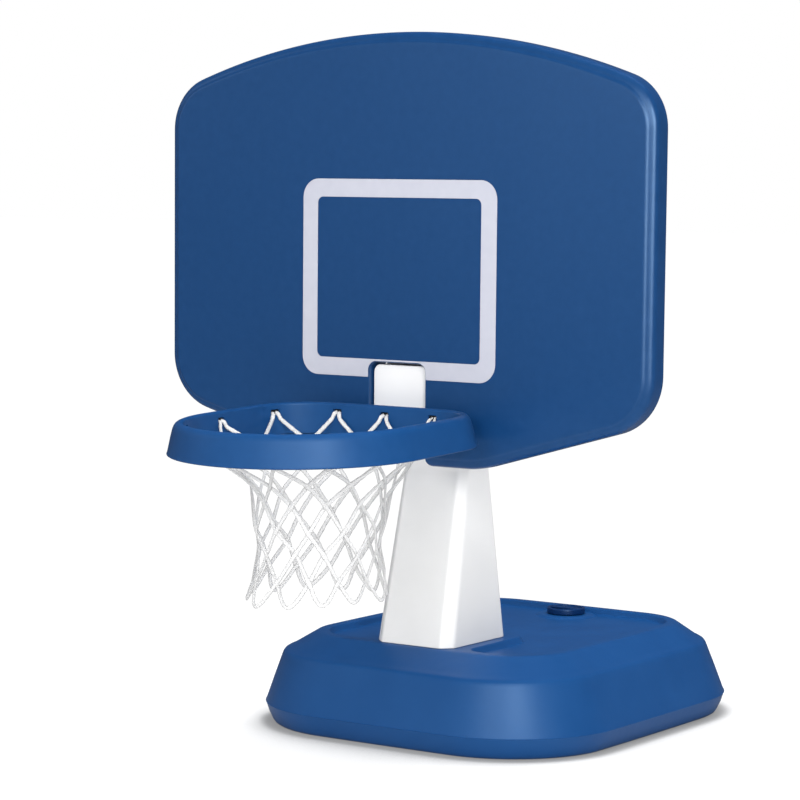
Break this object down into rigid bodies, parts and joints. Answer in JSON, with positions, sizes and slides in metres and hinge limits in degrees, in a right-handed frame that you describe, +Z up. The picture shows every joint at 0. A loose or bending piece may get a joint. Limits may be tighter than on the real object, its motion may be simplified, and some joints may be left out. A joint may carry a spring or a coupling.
{
  "type": "poolside basketball hoop",
  "caption": "Portable basketball hoop for a pool edge: a fillable tank carries a tapered column, an arched backboard and a U-shaped rim with a knotted net.",
  "frame": {"origin": "on the deck, on the centre line, straight below the backboard's front face", "axes": "+Z up, +Y from the rim towards the back of the tank, +X to the right for a player facing the board"},
  "size_m": [0.738, 0.907, 0.907],
  "materials": {
    "tank_blue": "blow-moulded polyethylene, fine satin grain",
    "board_blue": "blow-moulded polyethylene, fine satin grain",
    "rim_blue": "injection-moulded polypropylene, satin",
    "cap_navy": "injection-moulded polypropylene, satin",
    "column_white": "white polyethylene, semi-gloss",
    "target_print": "thin white film, satin",
    "net_cord": "braided white nylon cord",
    "toggle_black": "black nylon",
    "knob_black": "black glass-filled nylon",
    "steel": "zinc-plated or stainless steel",
    "brass": "knurled brass insert",
    "rubber": "moulded rubber"
  },
  "bodies": {
    "stand": {"base_tank": "tank_blue", "column": "column_white", "backboard": "board_blue", "target_square": "target_print", "rim_band": "rim_blue", "net": "net_cord", "net_toggle_1": "toggle_black", "net_toggle_2": "toggle_black", "net_toggle_3": "toggle_black", "net_toggle_4": "toggle_black", "net_toggle_5": "toggle_black", "net_toggle_6": "toggle_black", "net_toggle_7": "toggle_black", "net_toggle_8": "toggle_black", "net_toggle_9": "toggle_black", "net_toggle_10": "toggle_black", "net_toggle_11": "toggle_black", "net_toggle_12": "toggle_black", "foot_bolt_1": "steel", "foot_bolt_2": "steel", "foot_bolt_3": "steel", "foot_bolt_4": "steel", "foot_washer_1": "steel", "foot_washer_2": "steel", "foot_washer_3": "steel", "foot_washer_4": "steel", "foot_insert_1": "brass", "foot_insert_2": "brass", "foot_insert_3": "brass", "foot_insert_4": "brass", "board_screw_1": "steel", "board_screw_2": "steel", "board_screw_3": "steel", "board_screw_4": "steel", "rim_bolt_1": "steel", "rim_bolt_2": "steel"},
    "cap_seal": {"fill_cap_gasket": "rubber"},
    "cap": {"fill_cap": "cap_navy"},
    "rim_washer_1": {"rim_washer_1": "steel"},
    "rim_knob_1": {"rim_knob_1": "knob_black"},
    "rim_washer_2": {"rim_washer_2": "steel"},
    "rim_knob_2": {"rim_knob_2": "knob_black"}
  },
  "joints": [
    {"name": "cap_lift", "type": "slide", "parent": "stand", "child": "cap_seal", "axis": [0, 0, 1], "range_m": [0, 0.018]},
    {"name": "cap_turn", "type": "hinge", "parent": "cap_seal", "child": "cap", "pos_m": [0, 0.427, 0.1173], "axis": [0, 0, 1], "range_deg": [0, 1620]},
    {"name": "rim_knob_1_back_off", "type": "slide", "parent": "stand", "child": "rim_washer_1", "axis": [0, 1, 0], "range_m": [0, 0.01]},
    {"name": "rim_knob_1_turn", "type": "hinge", "parent": "rim_washer_1", "child": "rim_knob_1", "pos_m": [-0.024, 0.15, 0.419], "axis": [0, 1, 0], "range_deg": [0, 2880]},
    {"name": "rim_knob_2_back_off", "type": "slide", "parent": "stand", "child": "rim_washer_2", "axis": [0, 1, 0], "range_m": [0, 0.01]},
    {"name": "rim_knob_2_turn", "type": "hinge", "parent": "rim_washer_2", "child": "rim_knob_2", "pos_m": [0.024, 0.15, 0.419], "axis": [0, 1, 0], "range_deg": [0, 2880]}
  ],
  "couplings": [
    {"joint": "cap_lift", "follows": "cap_turn", "m_per_rad": 0.00063662},
    {"joint": "rim_knob_1_back_off", "follows": "rim_knob_1_turn", "m_per_rad": 0.00019894},
    {"joint": "rim_knob_2_back_off", "follows": "rim_knob_2_turn", "m_per_rad": 0.00019894}
  ]
}
